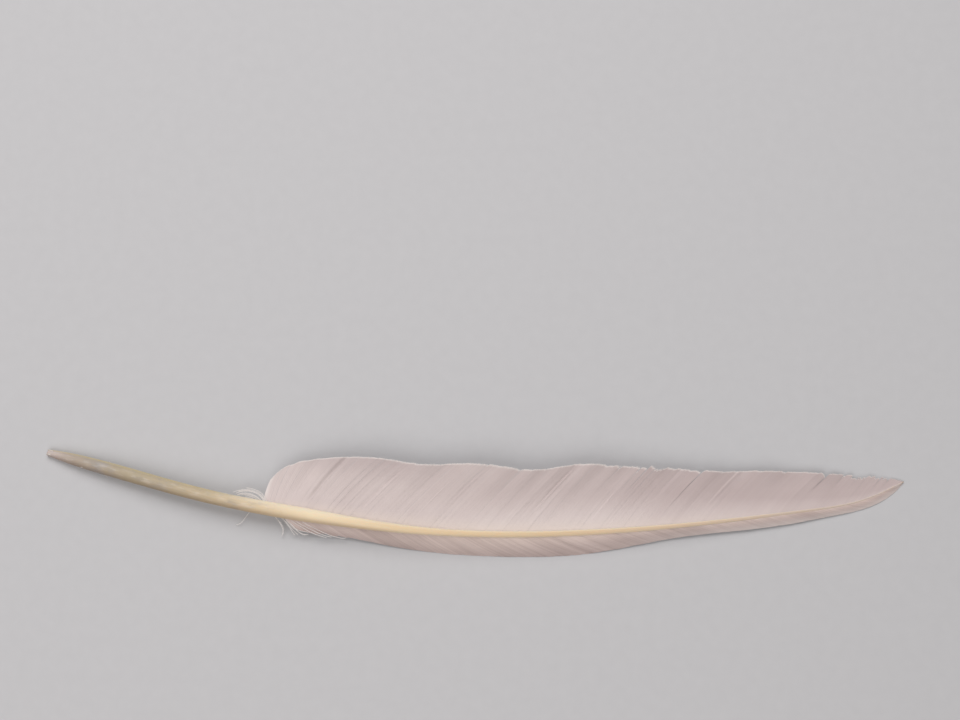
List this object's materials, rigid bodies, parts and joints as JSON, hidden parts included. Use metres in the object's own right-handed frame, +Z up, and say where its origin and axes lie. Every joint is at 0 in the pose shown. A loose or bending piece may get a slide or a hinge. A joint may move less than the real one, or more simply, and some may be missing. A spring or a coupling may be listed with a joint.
{
  "type": "goose quill feather",
  "caption": "Long pale goose wing feather lying flat: bare round quill, tapering shaft, broad and narrow vanes of lapped barbs, wisps of down.",
  "frame": {"origin": "on the table, under the middle of the feather's length and width", "axes": "+X along the feather from the quill's end to its tip, +Y towards the broad vane, +Z up from the table"},
  "size_m": [0.3204, 0.04, 0.0095],
  "materials": {
    "vane": "soft matt barbs with a faint sheen",
    "shaft": "smooth horn with a low gloss",
    "down": "soft loose down"
  },
  "bodies": {
    "root": {"feather": "vane"}
  },
  "joints": []
}
